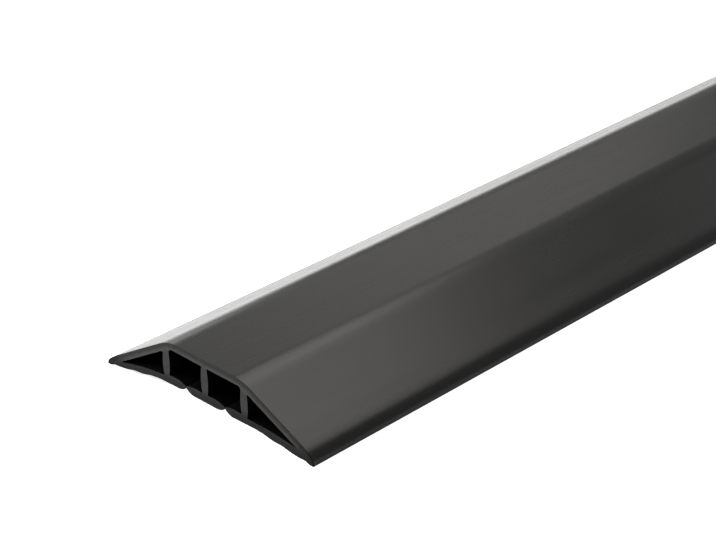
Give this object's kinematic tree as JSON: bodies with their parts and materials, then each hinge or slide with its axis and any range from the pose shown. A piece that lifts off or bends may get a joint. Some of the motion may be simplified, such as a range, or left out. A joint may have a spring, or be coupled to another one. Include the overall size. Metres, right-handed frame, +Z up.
{
  "type": "floor cord cover",
  "caption": "Low black strip of soft PVC with ramped sides, laid over cords on a floor; hollow, with slits in its base that the cords are pressed through.",
  "frame": {"origin": "on the floor, under the middle of the cover's length and width", "axes": "+X along the length, +Y across the width, +Z up from the floor"},
  "size_m": [1.524, 0.0762, 0.0154],
  "materials": {
    "black_pvc": "satin black flexible PVC, smooth from the die, with a duller sawn face at each end"
  },
  "bodies": {
    "root": {"cord_cover": "black_pvc"}
  },
  "joints": []
}
